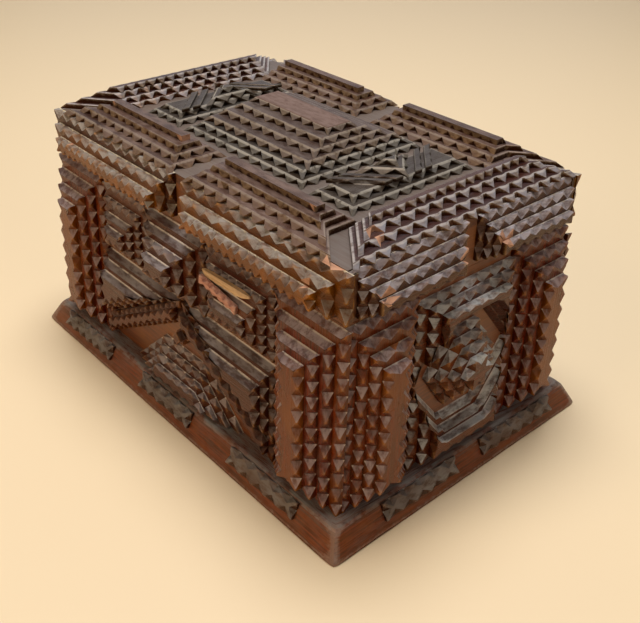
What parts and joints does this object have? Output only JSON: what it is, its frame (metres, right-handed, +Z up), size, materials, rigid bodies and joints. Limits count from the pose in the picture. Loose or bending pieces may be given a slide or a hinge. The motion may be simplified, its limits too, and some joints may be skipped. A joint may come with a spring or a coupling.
{
  "type": "tramp art box",
  "caption": "Lidded wooden tramp art box covered with stacked layers of notch-carved plates, on a sloping plinth, with a hinged lid topped by a stepped pyramid",
  "frame": {"origin": "centre of the underside of the plinth, which stands on the table", "axes": "+X along the length towards the right end, -Y towards the front, +Z up"},
  "size_m": [0.3044, 0.2114, 0.1799],
  "materials": {
    "carved_wood": "old dark varnish, worn",
    "case_wood": "thin old varnish",
    "worn_wood": "varnish rubbed to bare wood",
    "plinth_wood": "dark stain, scuffed",
    "hinge_brass": "tarnished",
    "nail_steel": "dull"
  },
  "bodies": {
    "case": {"base_board": "plinth_wood", "plinth_strips": "plinth_wood", "front_wall": "case_wood", "back_wall": "case_wood", "left_wall": "case_wood", "right_wall": "case_wood", "front_left_pilaster": "carved_wood", "front_right_pilaster": "carved_wood", "back_left_pilaster": "carved_wood", "back_right_pilaster": "carved_wood", "left_front_pilaster": "carved_wood", "left_back_pilaster": "carved_wood", "right_front_pilaster": "carved_wood", "right_back_pilaster": "carved_wood", "front_pendant": "carved_wood", "front_left_boss": "carved_wood", "front_right_boss": "carved_wood", "front_left_fill": "carved_wood", "front_right_fill": "carved_wood", "front_gable": "carved_wood", "front_mound": "carved_wood", "back_pendant": "carved_wood", "back_left_boss": "carved_wood", "back_right_boss": "carved_wood", "back_left_fill": "carved_wood", "back_right_fill": "carved_wood", "back_gable": "carved_wood", "back_mound": "carved_wood", "left_frame": "carved_wood", "left_boss": "carved_wood", "right_frame": "carved_wood", "right_boss": "carved_wood", "left_hinge_lower_leaf": "hinge_brass", "right_hinge_lower_leaf": "hinge_brass", "left_hinge_pin": "hinge_brass", "right_hinge_pin": "hinge_brass", "case_hinge_nails": "nail_steel"},
    "lid": {"lid_board": "case_wood", "lid_front_rim": "case_wood", "lid_back_rim": "case_wood", "lid_left_rim": "case_wood", "lid_right_rim": "case_wood", "lid_front_fascia": "carved_wood", "lid_back_fascia": "carved_wood", "lid_left_fascia": "carved_wood", "lid_right_fascia": "carved_wood", "lid_front_left_stack": "carved_wood", "lid_front_right_stack": "carved_wood", "lid_back_left_stack": "carved_wood", "lid_back_right_stack": "carved_wood", "lid_left_stack": "carved_wood", "lid_right_stack": "carved_wood", "lid_terrace": "carved_wood", "lid_left_block": "carved_wood", "lid_right_block": "carved_wood", "lid_left_diamond": "carved_wood", "lid_right_diamond": "carved_wood", "lid_pyramid": "worn_wood", "left_hinge_upper_leaf": "hinge_brass", "right_hinge_upper_leaf": "hinge_brass", "lid_hinge_nails": "nail_steel"}
  },
  "joints": [
    {"name": "lid_hinge", "type": "hinge", "parent": "case", "child": "lid", "pos_m": [0, 0.0894, 0.13], "axis": [-1, 0, 0], "range_deg": [0, 100]}
  ]
}
